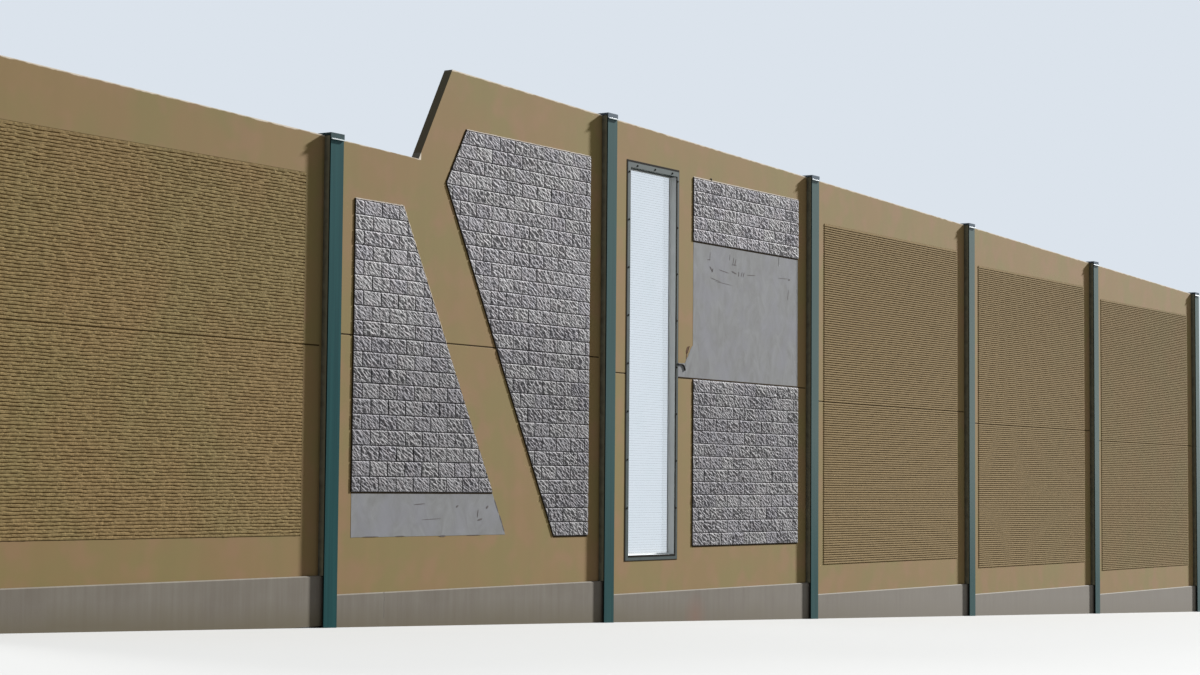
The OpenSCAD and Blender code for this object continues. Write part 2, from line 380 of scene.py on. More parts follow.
# %% Bay measures
BAYS, BAY = range(1, 7), 5.0
FACE = -0.025
post_x = [sum(c.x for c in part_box(f"post_{k}")) / 2 for k in range(7)]
plinth_top = {b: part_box(f"plinth_{b}")[1].z for b in BAYS}
joint_z = {b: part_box(f"upper_panel_{b}")[0].z for b in BAYS}
frame_low, frame_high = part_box("window_frame")
stone_box = {name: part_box(f"stone_{name}") for name in ("trapezoid", "pentagon", "strip", "field")}
print("post axes", [round(x, 2) for x in post_x])
print("plinth tops", [round(plinth_top[b], 3) for b in BAYS])


def at_bay(b, x_mm, z_mm):
    """A point of the wall measured in millimetres from a bay's left post and plinth top."""
    return post_x[b - 1] + x_mm / 1000, plinth_top[b] + z_mm / 1000

# %% [markdown]
# ## Smooth tan concrete
# The panels' margins are fine concrete coloured tan through and through, cast against smooth
# steel. It shows soft clouds of olive and pinkish brown, dirt on its tops, and painted light: a
# pale line along its top edge as a highlight, and painted shade on the step's lee side, which
# faces away from the sun, and close before each post, in the post's pocket. Wide noise mixes the
# clouds and noise stretched upright makes faint streaks. The height under the sloping top draws
# the pale line, and the place between two posts lays the painted shade. The other concretes
# below reuse the same few ideas.

# %% What several finishes measure
def along_and_above(tree, place):
    """A place's x, and its height above a line that falls with the wall."""
    x, _, z = add(tree, "SeparateXYZ", {0: place}).outputs
    return x, add(tree, "Math", {0: x, 1: SLOPE, 2: z}, operation="MULTIPLY_ADD")


def facing(tree):
    """The x, y and z of the way a surface faces."""
    return add(tree, "SeparateXYZ", {0: add(tree, "TexCoord").outputs["Normal"]}).outputs


def streaks(tree, place, scale, detail, **numbers):
    """Noise on a place that is stretched along the axes."""
    drawn_out = add(tree, "Mapping", {"Vector": place, "Scale": scale})
    return add(tree, "TexNoise", {"Vector": drawn_out, "Scale": 1, "Detail": detail, **numbers})


# %% Tan concrete, cast smooth: matt, softly clouded
TOP_LINE_LOW, TOP_LINE_HIGH, STEP_X = 4.965, 6.025, -23.55
tan_concrete, tree, place = new_material("tan_cast_concrete", rough=0.85, gloss=0.28)
x, height = along_and_above(tree, place)
cloud = add(tree, "TexNoise", {"Vector": place, "Scale": 1.1, "Detail": 3, "Roughness": 0.5})
patch = add(tree, "TexNoise", {"Vector": place, "Scale": 2.6, "Detail": 2, "Roughness": 0.45})
tone = coat(tree, colour("856d44"), colour("7e7041"), cloud, 0.42, 0.62, most=0.8)
tone = coat(tree, tone, colour("8c6d4c"), patch, 0.5, 0.68, most=0.7)
streak = streaks(tree, place, (5, 5, 0.4), 2, Roughness=0.5)
tone = shade(tree, tone, streak, 0.35, 0.7, 0.985, 1.015)
# The first bay is a little duller than the rest
tone = shade(tree, tone, x, -27, -19, 0.93, 1.02)
# A pale line, a painted highlight, lies under the top, which has its step in the second bay
past_step = add(tree, "Math", {0: x, 1: STEP_X}, operation="GREATER_THAN")
top_line = add(tree, "Math", {0: past_step, 1: TOP_LINE_HIGH - TOP_LINE_LOW, 2: TOP_LINE_LOW},
               operation="MULTIPLY_ADD")
under_top = add(tree, "Math", {0: top_line, 1: height}, operation="SUBTRACT")
ragged = add(tree, "TexNoise", {"Vector": place, "Scale": 7, "Detail": 3})
under_top = add(tree, "Math", {0: ragged, 1: 0.03, 2: under_top}, operation="MULTIPLY_ADD")
tone = coat(tree, tone, colour("d2c6b4"), under_top, 0.020, 0.030, 0.95, 0)
# Painted shade before each post, in the post's pocket: the measure runs from 0 at a bay's left post to 1 at
# its right post
along = add(tree, "Math", {0: x, 1: 1 / BAY, 2: len(BAYS)}, operation="MULTIPLY_ADD")
along = add(tree, "Math", {0: along}, operation="FRACT")
tone = coat(tree, tone, colour("4d493c"), along, 0.935, 0.978, most=0.2)
# Painted shade on the lee side, which faces away from the sun, and dirt on the tops
across, _, up = facing(tree)
tone = coat(tree, tone, colour("403e30"), across, -0.8, -0.6, 0.85, 0)
tone = coat(tree, tone, colour("403e30"), up, 0.8, 0.95, most=0.7)
# Sand grains are 2 mm and are drawn 10 mm wide to show at all
grain = add(tree, "TexNoise", {"Vector": place, "Scale": 100, "Detail": 2})
bump = add(tree, "Bump", {"Height": grain, "Strength": 0.12, "Distance": 0.002})
finish(tan_concrete, {"Base Color": tone, "Normal": bump})

# %% [markdown]
# ## Plain grey concrete
# The plinths are ordinary grey concrete, splashed brown near their feet and streaked by water
# running down. In the third bay iron has stained it red, and a spherical gradient drawn out
# upright paints that one stain.

# %% Plinth concrete: plain grey, splashed and streaked
SPLASH_FOOT, SPLASH_HEIGHT = -0.12, 0.25
plinth_concrete, tree, place = new_material("plain_cast_concrete", rough=0.85, gloss=0.28)
x, height = along_and_above(tree, place)
cloud = add(tree, "TexNoise", {"Vector": place, "Scale": 1.6, "Detail": 4, "Roughness": 0.55})
streak = streaks(tree, place, (14, 14, 0.8), 4, Roughness=0.6)
blotch = add(tree, "Math", {0: cloud, 1: streak}, operation="ADD")
tone = coat(tree, colour("675f54"), colour("746e63"), blotch, 0.7, 1.3)
wander = add(tree, "Math", {0: cloud, 1: -0.3, 2: height}, operation="MULTIPLY_ADD")
tone = coat(tree, tone, colour("5f5641"), wander, SPLASH_FOOT, SPLASH_FOOT + SPLASH_HEIGHT, 0.75, 0)
# Paler down the slope
tone = coat(tree, tone, colour("857f76"), x, -21, -11, most=0.55)
stain_x, stain_z = at_bay(3, 2000, -330)
around = add(tree, "Mapping", {"Vector": place, "Location": (stain_x, 0, stain_z), "Scale": (0.3, 1, 0.32)},
             vector_type="TEXTURE")
stain = add(tree, "TexGradient", {"Vector": around}, gradient_type="SPHERICAL").outputs["Fac"]
tone = coat(tree, tone, colour("7c5c4c"), stain, most=0.6)
pores = add(tree, "TexNoise", {"Vector": place, "Scale": 70, "Detail": 3})
bump = add(tree, "Bump", {"Height": pores, "Strength": 0.15, "Distance": 0.003})
finish(plinth_concrete, {"Base Color": tone, "Normal": bump})

# %% [markdown]
# ## Painted steel, caps, seals and the window frame
# The posts wear a satin teal two-coat paint. Down the slope and away from their feet it is painted
# paler and greyer, a painted sheen as the sky's reflection at grazing views, and painted shade
# darkens the lee edges. The caps are folded sheet, the first teal as the posts and the others blue
# grey, with a bare hem painted pale as a highlight. The frame is powder-coated grey green outside;
# inside, below its head, it is painted pale grey as light. The seals are dull foam, dustier in
# front and painted darker deeper in the pocket, as shade.

# %% Satin teal paint on the posts
post_paint, tree, place = new_material("teal_satin_paint", rough=0.30, gloss=0.18)
x, height = along_and_above(tree, place)
streak = streaks(tree, place, (30, 30, 0.5), 3)
tone = coat(tree, colour("063a3b"), colour("124444"), streak, 0.35, 0.65)
# Painted sheen: paler and greyer down the slope and away from the feet, as the sky's reflection at grazing
# views
down_slope = add(tree, "MapRange", {"Value": x, "From Min": -25, "From Max": -10})
away = add(tree, "MapRange", {"Value": height, "From Min": 0.6, "From Max": 2.6, "To Min": 0.2})
painted_sheen = add(tree, "Math", {0: down_slope, 1: away}, operation="MULTIPLY")
tone = coat(tree, tone, colour("566560"), painted_sheen)
across, _, _ = facing(tree)
# Painted shade on the lee edges, which face away from the sun
tone = coat(tree, tone, colour("0f1512"), across, -0.9, -0.5, 0.8, 0)
peel = add(tree, "TexNoise", {"Vector": place, "Scale": 60, "Detail": 1})
bump = add(tree, "Bump", {"Height": peel, "Strength": 0.05, "Distance": 0.001})
finish(post_paint, {"Base Color": tone, "Normal": bump})

# %% Coated sheet of the caps: dull, blotched with dirt
cap_sheet, tree, place = new_material("blue_grey_coated_sheet", rough=0.35, gloss=0.15)
x, _, _ = add(tree, "SeparateXYZ", {0: place}).outputs
spots = add(tree, "TexNoise", {"Vector": place, "Scale": 25, "Detail": 4})
tone = coat(tree, colour("1f3d3d"), colour("183131"), spots, 0.4, 0.65)
finish(cap_sheet, {"Base Color": coat(tree, tone, colour("525d66"), x, -25.5, -20.5)})

# %% Bare edge of the caps' hems: zinc, painted pale as a highlight
def two_tone(name, dark, light, scale, detail, **numbers):
    """A plain finish: two tones mixed by noise."""
    material, tree, place = new_material(name, **numbers)
    noise = add(tree, "TexNoise", {"Vector": place, "Scale": scale, "Detail": detail})
    finish(material, {"Base Color": coat(tree, colour(dark), colour(light), noise)})
    return material


hem_zinc_and_highlight = two_tone("zinc_hem_painted_highlight", "b4c0c0", "d8dede", 25, 4, rough=0.55, gloss=0.3)

# %% Powder coat of the window frame: grey green, with pale grey painted inside below the head as light on the jambs
INSIDE_FRAME_Y, HEAD_DEPTH = -0.022, 0.067
frame_paint, tree, place = new_material("grey_green_powder_coat", gloss=0.2)
_, y, z = add(tree, "SeparateXYZ", {0: place}).outputs
spots = add(tree, "TexNoise", {"Vector": place, "Scale": 9, "Detail": 4})
tone = coat(tree, colour("3e4845"), colour("38413e"), spots, 0.4, 0.65)
# Painted light: the jambs and sill inside the frame are pale, and the head's underside stays dark
inside = add(tree, "Math", {0: y, 1: INSIDE_FRAME_Y}, operation="GREATER_THAN")
below_head = add(tree, "Math", {0: z, 1: frame_high.z - HEAD_DEPTH}, operation="LESS_THAN")
painted_lit_jambs = add(tree, "Math", {0: inside, 1: below_head}, operation="MULTIPLY")
finish(frame_paint, {"Base Color": coat(tree, tone, colour("d6d9d8"), painted_lit_jambs)})

# %% Foam and rubber of the seals: dull, dusty in front, with painted shade deeper in the pocket
SEAL_BACK_Y, SEAL_FRONT_Y = -0.02, -0.08
rubber, tree, place = new_material("weathered_foam_rubber", rough=0.9, gloss=0.2)
_, y, _ = add(tree, "SeparateXYZ", {0: place}).outputs
dust = add(tree, "TexNoise", {"Vector": place, "Scale": 12, "Detail": 4})
# Painted shade: darker towards the back of the post's pocket; the dust noise adds real dust
forwards = add(tree, "MapRange", {"Value": y, "From Min": SEAL_BACK_Y, "From Max": SEAL_FRONT_Y,
                                  "To Min": -0.15, "To Max": 0.55})
dust_and_painted_shade = add(tree, "Math", {0: dust, 1: forwards}, operation="ADD", use_clamp=True)
finish(rubber, {"Base Color": coat(tree, colour("454034"), colour("7a7763"), dust_and_painted_shade)})

# %% [markdown]
# ## Clear acrylic
# The pane is clear cast acrylic, 20 mm thick, which lets light pass and mirrors a little. Its
# index is 1.49. A trace of dust clouds it, so the roughness follows a wide noise.

# %% Acrylic of the pane
acrylic, tree, place = new_material("clear_cast_acrylic", index=1.49, clear=1.0)
dust = add(tree, "TexNoise", {"Vector": place, "Scale": 2, "Detail": 4})
haze = add(tree, "MapRange", {"Value": dust, "To Max": 0.08})
finish(acrylic, {"Base Color": coat(tree, colour("ffffff"), colour("f6faf9"), dust), "Roughness": haze})

# %% Every CAD node gets its finish
FINISHES = {"post_cap_": cap_sheet, "post_": post_paint, "plinth_": plinth_concrete,
            "lower_panel_": tan_concrete, "upper_panel_": tan_concrete, "window_frame": frame_paint,
            "window_pane": acrylic, "front_seals": rubber, "rib_field_": tan_concrete,
            "stone_": plinth_concrete}
for name, node in nodes.items():
    node.data.materials.clear()
    node.data.materials.append(next(m for begin, m in FINISHES.items() if name.startswith(begin)))
print("finished", len(nodes), "nodes")

# %% [markdown]
# ## Ribbed sound-absorbing layers
# The layers are porous concrete pressed into horizontal ribs every 32 mm. The mix is coarse, so
# the ribs wander, break and run into each other. One rib is shaped from a flat grid row by row,
# an array stacks it, and Displace modifiers with cloud textures bend the ribs, fill the grooves
# here and there and roughen the crests. The rim is then drawn back and closed. Bay 1 is rougher
# than the far bays, whose ribs the photograph shows as fine even lines.

# %% Measures of the ribs
RIB_PITCH, LAYER_GAP, WELD = 0.032, 0.0035, 0.0002
GROOVE_Y, LAYER_BACK = FACE + 0.004, FACE + 0.0118
# Heights of the rows on one rib, as parts of the pitch, and how far each stands out
RIB_ROWS = [(0.16, 1.0), (0.66, 1.0), (0.82, 0.0), (1.0, 0.0)]
# How far the ribs wander and how rough their crests are at a roughness of 1
WANDER, CREST = 0.018, 0.009
# Points this near a layer's lower and upper edge stay still; a groove's points lie this deep
STILL_EDGE, GROOVE_DEEP = 0.006, GROOVE_Y - 0.002


def empty(name, scale, turn=0.0):
    """An empty whose space a texture can use, stretched and turned about Y."""
    made = bpy.data.objects.new(name, None)
    made.scale = scale
    made.rotation_euler = (0, turn, 0)
    scene.collection.objects.link(made)
    bpy.context.view_layer.update()
    return made


stretched = empty("stretched", (1.8, 1, 1))
wave_clouds = clouds("rib_wave", 0.10, depth=1)
fill_clouds = clouds("rib_fill", 0.030, depth=1, contrast=2.8, brightness=0.76)
crest_clouds = clouds("rib_crest", 0.028, depth=2)

# %% One ribbed layer
def rib_layer(name, x0, x1, z0, z1, depth, segment, roughness, full_top):
    """A closed layer of rough ribs between two heights; a full top has no groove at its upper edge."""
    count = round((z1 - z0) / RIB_PITCH)
    pitch = (z1 - z0) / count
    rows = len(RIB_ROWS)
    layer = start_grid(name, ((x0 + x1) / 2, GROOVE_Y, z0 + pitch / 2), x1 - x0, pitch,
                       round((x1 - x0) / segment), rows)
    for row, (row_height, out) in reversed(list(enumerate(RIB_ROWS, 1))):
        level_z = z0 + pitch * row / rows
        pick(layer, "VERT", lambda p: abs(p.z - level_z) < pitch * 0.02)
        move(y=-out * depth, z=(row_height - row / rows) * pitch)
    close_edit(layer)
    repeat(layer, count, (0, 0, pitch), use_merge_vertices=True, merge_threshold=WELD)
    if full_top:
        start_edit(layer)
        pick(layer, "VERT", lambda p: p.z > z1 - pitch * 0.25)
        move(y=-depth)
        close_edit(layer)
    where = points_of(layer)
    inner = (where[:, 2] > z0 + STILL_EDGE) & (where[:, 2] < z1 - STILL_EDGE)
    groove = inner & (where[:, 1] > GROOVE_DEEP)
    name_points(layer, "inner", inner)
    name_points(layer, "groove", groove)
    name_points(layer, "crest", ~groove)
    roughen(layer, wave_clouds, "Z", WANDER * roughness, "inner", space=stretched)
    roughen(layer, fill_clouds, "Y", -depth * roughness, "groove", middle=0.0, space=stretched)
    roughen(layer, crest_clouds, "Y", CREST * roughness, "crest", space=stretched)
    # The rim goes back by any length, because the resize then lays it flat on the layer's back
    start_edit(layer)
    pick_rim()
    extrude(y=0.01)
    bpy.ops.transform.resize(value=(1, 0, 1), center_override=(0, LAYER_BACK, 0))
    bpy.ops.mesh.edge_face_add()
    return close_edit(layer)

print("ribs are", len(RIB_ROWS), "rows each")

# %% [markdown]
# ## Finish of the ribs
# Porous concrete of broken grains, tan as the panels but darker from dust and old rain, and
# browner and darker in the grooves, from damp dirt and from painted shade. In the far bays the
# crests are painted paler as highlight and the grooves darker as shade. Grains of about 6 mm are
# drawn 12 mm wide.

# %% Porous ribbed concrete: grainy and matt
CONTRAST_FROM_X = -15.0
rib_concrete, tree, place = new_material("porous_ribbed_concrete", rough=0.95, gloss=0.25)
x, y, _ = add(tree, "SeparateXYZ", {0: place}).outputs
cloud = add(tree, "TexNoise", {"Vector": place, "Scale": 0.8, "Detail": 3})
tone = coat(tree, colour("816b43"), colour("7d6c43"), cloud, 0.42, 0.6)
# Painted highlight and shade: bay 4 has the palest crests and the darkest grooves, and the bays after it
# less and less
past_bay_3 = add(tree, "Math", {0: x, 1: CONTRAST_FROM_X}, operation="GREATER_THAN")
painted_rib_contrast = add(tree, "MapRange", {"Value": x, "From Min": CONTRAST_FROM_X + BAY, "From Max": 0,
                              "To Min": 1, "To Max": 0})
painted_rib_contrast = add(tree, "Math", {0: past_bay_3, 1: painted_rib_contrast}, operation="MULTIPLY")
tone = coat(tree, tone, colour("8b754d"), painted_rib_contrast)
groove_dirt_and_shade = coat(tree, colour("775f37"), colour("241a0c"), painted_rib_contrast)
# The grooves take that colour by depth: damp dirt, and painted shade in the recess
tone = coat(tree, tone, groove_dirt_and_shade, y, GROOVE_Y - 0.006, GROOVE_Y, most=0.8)
grains = add(tree, "TexNoise", {"Vector": place, "Scale": 80, "Detail": 3, "Roughness": 0.6})
tone = shade(tree, tone, grains, 0.35, 0.65, 0.78, 1.12)
bump = add(tree, "Bump", {"Height": grains, "Strength": 0.4, "Distance": 0.005})
finish(rib_concrete, {"Base Color": tone, "Normal": bump})

# %% Ribbed layers of bays 1, 4, 5 and 6
# Depth, length of a step along the ribs and roughness: bay 1 is shallower and rougher
NEAR_RIBS, FAR_RIBS = (0.0078, 0.022, 0.82), (0.012, 0.075, 0.2)
for b in (1, 4, 5, 6):
    low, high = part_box(f"rib_field_{b}")
    measures = NEAR_RIBS if b == 1 else FAR_RIBS
    parts = [rib_layer(f"ribs_{b}_low", low.x, high.x, low.z, joint_z[b] - LAYER_GAP, *measures, False),
             rib_layer(f"ribs_{b}_high", low.x, high.x, joint_z[b] + LAYER_GAP, high.z, *measures, True)]
    hand_over(join(parts, f"rough_ribs_{b}"), rib_concrete, f"rib_field_{b}")
print("ribs after", round(time.time() - started, 1), "s")

# %% [markdown]
# ## Fields of split stone
# The stone is cast in courses 157 mm high, with blocks 285 mm long in running bond. Each face
# looks broken off by a chisel that struck from the upper left, so it is all shallow scoops with
# sharp ridges between. A Voronoi texture has just that shape, hollow at its points and raised
# where its cells meet, and an empty that is stretched and turned lays the scoops on the slant.
# One block is a grid whose rim is pressed back, so that its arrises slope, most of all the top
# one, which catches the sun as a bright line under each course. Its faces are split along the
# other diagonal, because that one runs with the marks. Arrays lay the courses, bisect cuts them
# along the field's slanting edges, and Displace modifiers break all faces. Each block then gets
# its own tilt, strength of relief and tint, and the field's outline is kept straight.

# %% Measures of the stone
BLOCK, JOINT = 0.285, 0.006
STONE_FRONT, STONE_BED, BED_BACK = FACE - 0.012, FACE - 0.001, FACE + 0.012
RIM, NEAR, INTO_BED = 0.007, 0.001, 0.002
ACROSS, UP = 22, 13
# Sloping arrises of a block: axis, side, width in metres
ARRISES = ((0, -1, 0.004), (0, 1, 0.006), (2, -1, 0.005), (2, 1, 0.014))
# Displacement is full this far in from a block's outline, and weaker on the arrises
FULL_INSET, ARRIS_WEIGHT = 0.0105, 0.35
SCOOP, SCOOP_LEVEL, SPLIT = 0.015, 0.45, 0.006
# Each block leans by up to these slopes, and its relief is scaled between these two
LEAN_X, LEAN_Z, WEAKEST, BOLDEST = 0.014, 0.022, 0.7, 1.4
STRAIGHT_EDGE, SLIVER = 0.03, 0.016
MARK_SLANT = math.radians(27)

chisel = empty("chisel", (2.4, 1, 1), MARK_SLANT)
scoops = bpy.data.textures.new("scoops", "VORONOI")
scoops.noise_scale = 0.026
scoops.distance_metric = "DISTANCE"
split_clouds = clouds("split_face", 0.07, depth=2, hard=True)


def cut(piece, point, outward, fill=True):
    """Cuts a piece by an upright plane and closes the cut; what lies outward goes."""
    start_edit(piece)
    pick_all()
    bpy.ops.mesh.bisect(plane_co=(point[0], 0, point[1]), plane_no=(outward[0], 0, outward[1]),
                        use_fill=fill, clear_outer=True)
    close_edit(piece)


# %% Courses of blocks
def stone_courses(name, x0, x1, z0, z1, course, first_joint):
    """Rows of blocks over a box; every second row is shifted by half a block."""
    rows = math.ceil((z1 - z0) / course - 0.05)
    columns = math.ceil((x1 - x0) / BLOCK) + 2
    half = Vector(((BLOCK - JOINT) / 2, 0, (course - JOINT) / 2))
    cell = Vector((2 * half.x / ACROSS, 0, 2 * half.z / UP))
    middle = Vector((x0 + first_joint - BLOCK / 2, STONE_FRONT, z0 + course / 2))
    block = start_grid(name, middle, 2 * half.x, 2 * half.z, ACROSS, UP)
    pick(block, "VERT", lambda p: abs(p.x - middle.x) > half.x - NEAR or abs(p.z - middle.z) > half.z - NEAR)
    move(y=RIM)
    for axis, side, width in ARRISES:
        ring = half[axis] - cell[axis]
        pick(block, "VERT", lambda p: abs(side * (p[axis] - middle[axis]) - ring) < NEAR)
        shift = [0, 0, 0]
        shift[axis] = side * (cell[axis] - width)
        move(*shift)
    pick_rim()
    extrude(y=STONE_BED - STONE_FRONT - RIM + INTO_BED)
    bpy.ops.mesh.edge_face_add()
    close_edit(block)
    where = points_of(block)
    inset = np.minimum(half.x - abs(where[:, 0] - middle.x), half.z - abs(where[:, 2] - middle.z))
    name_points(block, "front", inset > NEAR, ARRIS_WEIGHT)
    name_points(block, "front", inset > FULL_INSET)
    modify(block, "TRIANGULATE", quad_method="FIXED_ALTERNATE")
    repeat(block, columns, (BLOCK, 0, 0))
    start_edit(block)
    pick_all()
    bpy.ops.mesh.duplicate_move(TRANSFORM_OT_translate={"value": (-BLOCK / 2, 0, course)})
    close_edit(block)
    repeat(block, (rows + 1) // 2, (0, 0, 2 * course))
    # The arrays lay rows in pairs, so of an odd number the last row goes
    if rows % 2:
        cut(block, (0, z0 + rows * course), (0, 1))
    return block


# %% Each block on its own
def loosen_blocks(piece, planes, seed, bold):
    """Gives each block its tilt, relief and tint, and levels the field's outline; drops slivers."""
    chance = random.Random(seed)
    mesh = bmesh.new()
    mesh.from_mesh(piece.data)
    tint = mesh.verts.layers.float.new("tint")
    weights = mesh.verts.layers.deform.verify()
    front = piece.vertex_groups["front"].index
    waiting, slivers = set(mesh.verts), []
    for first in list(mesh.verts):
        if first not in waiting:
            continue
        block, edge = {first}, [first]
        while edge:
            for link in edge.pop().link_edges:
                for point in link.verts:
                    if point not in block:
                        block.add(point)
                        edge.append(point)
        waiting -= block
        middle = sum((p.co for p in block), Vector()) / len(block)
        reach = [max(p.co[i] for p in block) - min(p.co[i] for p in block) for i in (0, 2)]
        value, relief = chance.random(), bold * chance.uniform(WEAKEST, BOLDEST)
        lean_x, lean_z = chance.uniform(-LEAN_X, LEAN_X), chance.uniform(-LEAN_Z, LEAN_Z)
        for p in block:
            p[tint] = value
            if front not in p[weights]:
                continue
            inside = min((point[0] - p.co.x) * out[0] + (point[1] - p.co.z) * out[1]
                         for point, out in planes)
            loose = min(max(inside / STRAIGHT_EDGE, 0), 1)
            tilt = lean_x * (p.co.x - middle.x) + lean_z * (p.co.z - middle.z)
            p.co.y = STONE_FRONT + loose * (relief * (p.co.y - STONE_FRONT) + tilt)
        if min(reach) < SLIVER:
            slivers += block
    bmesh.ops.delete(mesh, geom=slivers, context="VERTS")
    mesh.to_mesh(piece.data)
    mesh.free()


# %% A whole field
def stone_field(name, parts, planes, bed_planes, seed, bold):
    """Courses cut to the field's outline, broken, on a bed that closes the joints."""
    courses = join([stone_courses(f"{name}_{i}", *part) for i, part in enumerate(parts)], name)
    for plane in planes:
        cut(courses, *plane)
    roughen(courses, scoops, "Y", -SCOOP, "front", middle=SCOOP_LEVEL, space=chisel)
    roughen(courses, split_clouds, "Y", SPLIT, "front")
    foot, top = min(p[2] for p in parts), max(p[3] for p in parts)
    loosen_blocks(courses, planes + [((0, foot), (0, -1)), ((0, top), (0, 1))], seed, bold)
    # The bed is one slab under all blocks, cut by the same planes
    left, far = min(p[0] for p in parts), max(p[1] for p in parts)
    depth = BED_BACK - STONE_BED
    bed = start_cube(f"{name}_bed", ((left + far) / 2, STONE_BED + depth / 2, (foot + top) / 2),
                     (far - left, depth, top - foot))
    close_edit(bed)
    for plane in bed_planes:
        cut(bed, *plane)
    return join([courses, bed], name)

print("stone helpers ready")

# %% [markdown]
# ## Finish of the stone
# Grey cement stone with a coarse broken face. The chisel's finest marks, 18 mm wide and 48 mm
# long, are too many to model, so a bump makes them: Voronoi cells on coordinates that are turned
# and stretched like the scoops. Each block has its own tint, a little warmer or cooler. Spray
# has darkened all stone below about 4 m and dirt sits in the hollows; the hollows and the lee
# sides are also painted darker as shade, and the upper arrises paler as a highlight.

# %% Split cement stone: rough and matt, each block its own tint
MARK_LENGTH, MARK_WIDTH = 0.048, 0.018
stone, tree, place = new_material("split_cement_stone", rough=0.9, gloss=0.28)
x, y, z = add(tree, "SeparateXYZ", {0: place}).outputs
across, _, up = facing(tree)
own = add(tree, "Attribute", attribute_name="tint", attribute_type="GEOMETRY").outputs["Fac"]
tone = coat(tree, colour("858387"), colour("939291"), own)
blotch = add(tree, "TexNoise", {"Vector": place, "Scale": 14, "Detail": 3})
tone = coat(tree, tone, colour("8d8788"), blotch, 0.45, 0.65, most=0.5)
slant = add(tree, "Mapping", {"Vector": place, "Rotation": (0, MARK_SLANT, 0),
                              "Scale": (MARK_LENGTH, MARK_WIDTH, MARK_WIDTH)}, vector_type="TEXTURE")
marks = add(tree, "TexVoronoi", {"Vector": slant, "Scale": 1}).outputs["Distance"]
grains = add(tree, "TexNoise", {"Vector": slant, "Scale": 1.3, "Detail": 3, "Roughness": 0.6})
relief = add(tree, "Math", {0: grains, 1: 0.7, 2: marks}, operation="MULTIPLY_ADD")
# Dark in the marks, from dirt and painted shade, in the joints and where spray reaches
tone = shade(tree, tone, relief, 0.4, 1.0, 0.70, 1.3)
tone = shade(tree, tone, y, STONE_FRONT + 0.003, STONE_BED, 1.0, 0.4)
tone = shade(tree, tone, z, 3.4, 4.6, 0.75, 1.08)
# The stone of bay 2 is a little darker than that of bay 3
in_bay_3 = add(tree, "Math", {0: x, 1: post_x[2]}, operation="GREATER_THAN")
tone = shade(tree, tone, in_bay_3, 0, 1, 0.87, 1.0)
# Painted shade on the lee sides, which face away from the sun
tone = shade(tree, tone, across, -0.95, -0.8, 0.3, 1)
# Painted highlight: the upper arrises, which face the sun, are the palest
tone = shade(tree, tone, up, 0.15, 0.45, 1, 1.4)
bump = add(tree, "Bump", {"Height": relief, "Strength": 1.0, "Distance": 0.013})
finish(stone, {"Base Color": tone, "Normal": bump})

# %% The two slanting fields of bay 2
LEAN = 0.54
# Half a block to the first joint, so that the blocks of every second course end on the outline
HALF_JOINT = (BLOCK - JOINT) / 2


def parted(low, high, joint, lower_rows, upper_rows, first_joint):
    """The lower and upper part of a field that the panels' joint parts."""
    lower_top, upper_foot = joint - LAYER_GAP, joint + LAYER_GAP
    return [(low.x, high.x, low.z, lower_top, (joint - low.z) / lower_rows, first_joint),
            (low.x, high.x, upper_foot, high.z, (high.z - joint - LAYER_GAP) / upper_rows, first_joint)]


low, high = stone_box["trapezoid"]
slope_out = Vector((1, LEAN)).normalized()
trapezoid = stone_field(
    "trapezoid_blocks", parted(low, high, joint_z[2], 10, 9, HALF_JOINT),
    [((low.x, 0), (-1, 0)), ((high.x, low.z), slope_out), ((0, high.z), (0, 1))],
    [((high.x, low.z), slope_out)], seed=21, bold=0.9)
hand_over(trapezoid, stone, "stone_trapezoid")

low, high = stone_box["pentagon"]
corner, top_left = at_bay(2, 1890, 4367), at_bay(2, 2240, 4987)
upper_out = Vector((-(top_left[1] - corner[1]), top_left[0] - corner[0])).normalized()
lower_out = Vector((-1, -LEAN)).normalized()
left_cuts = [(corner, lower_out), (corner, upper_out)]
pentagon = stone_field(
    "pentagon_blocks", parted(low, high, joint_z[2], 13, 15, 0.10),
    [((high.x, 0), (1, 0)), ((0, high.z), (0, 1))] + left_cuts, left_cuts, seed=22, bold=1.1)
hand_over(pentagon, stone, "stone_pentagon")
print("bay 2's stone after", round(time.time() - started, 1), "s")

# %% The strip and the field of bay 3
# Name, number of courses, first joint, seed, boldness of the relief
for name, courses, first_joint, seed, bold in (("strip", 5, 0.19, 31, 1.25), ("field", 13, 0.12, 32, 1.15)):
    low, high = stone_box[name]
    blocks = stone_field(
        f"{name}_blocks", [(low.x, high.x, low.z, high.z, (high.z - low.z) / courses, first_joint)],
        [((low.x, 0), (-1, 0)), ((high.x, 0), (1, 0))], [], seed, bold)
    hand_over(blocks, stone, f"stone_{name}")
print("bay 3's stone after", round(time.time() - started, 1), "s")

# %% [markdown]
# ## Mortar at the stone's upper edges
# Where the stone ends under tan concrete, and down the slanting right edge of the first field,
# the cast left a rough bead of pale mortar. A short cube with one long edge drawn back to the
# wall gives the slope, an array makes it as long as the edge, and cloud noise eats it ragged.

# %% One mortar bead
BEAD_STEP, INTO_WALL, DRAWN_BACK = 0.03, 0.004, 0.85
# The back of a bead, and the plane in front of which its points may move
BEAD_BACK, BEAD_MOVES = FACE + 0.002, FACE + 0.0015
# Cement with lime: pale and matt
mortar = two_tone("pale_lime_mortar", "837a6c", "a19890", 30, 3, rough=0.9, gloss=0.28)
bead_clouds = clouds("bead_edge", 0.03, depth=1)


def put(piece, x, y, z, turn=0.0):
    """Turns a finished mesh about Y, as seen from the front, and brings it to its place."""
    piece.data.transform(Matrix.Translation((x, y, z)) @ Matrix.Rotation(-turn, 4, "Y"))
    return piece


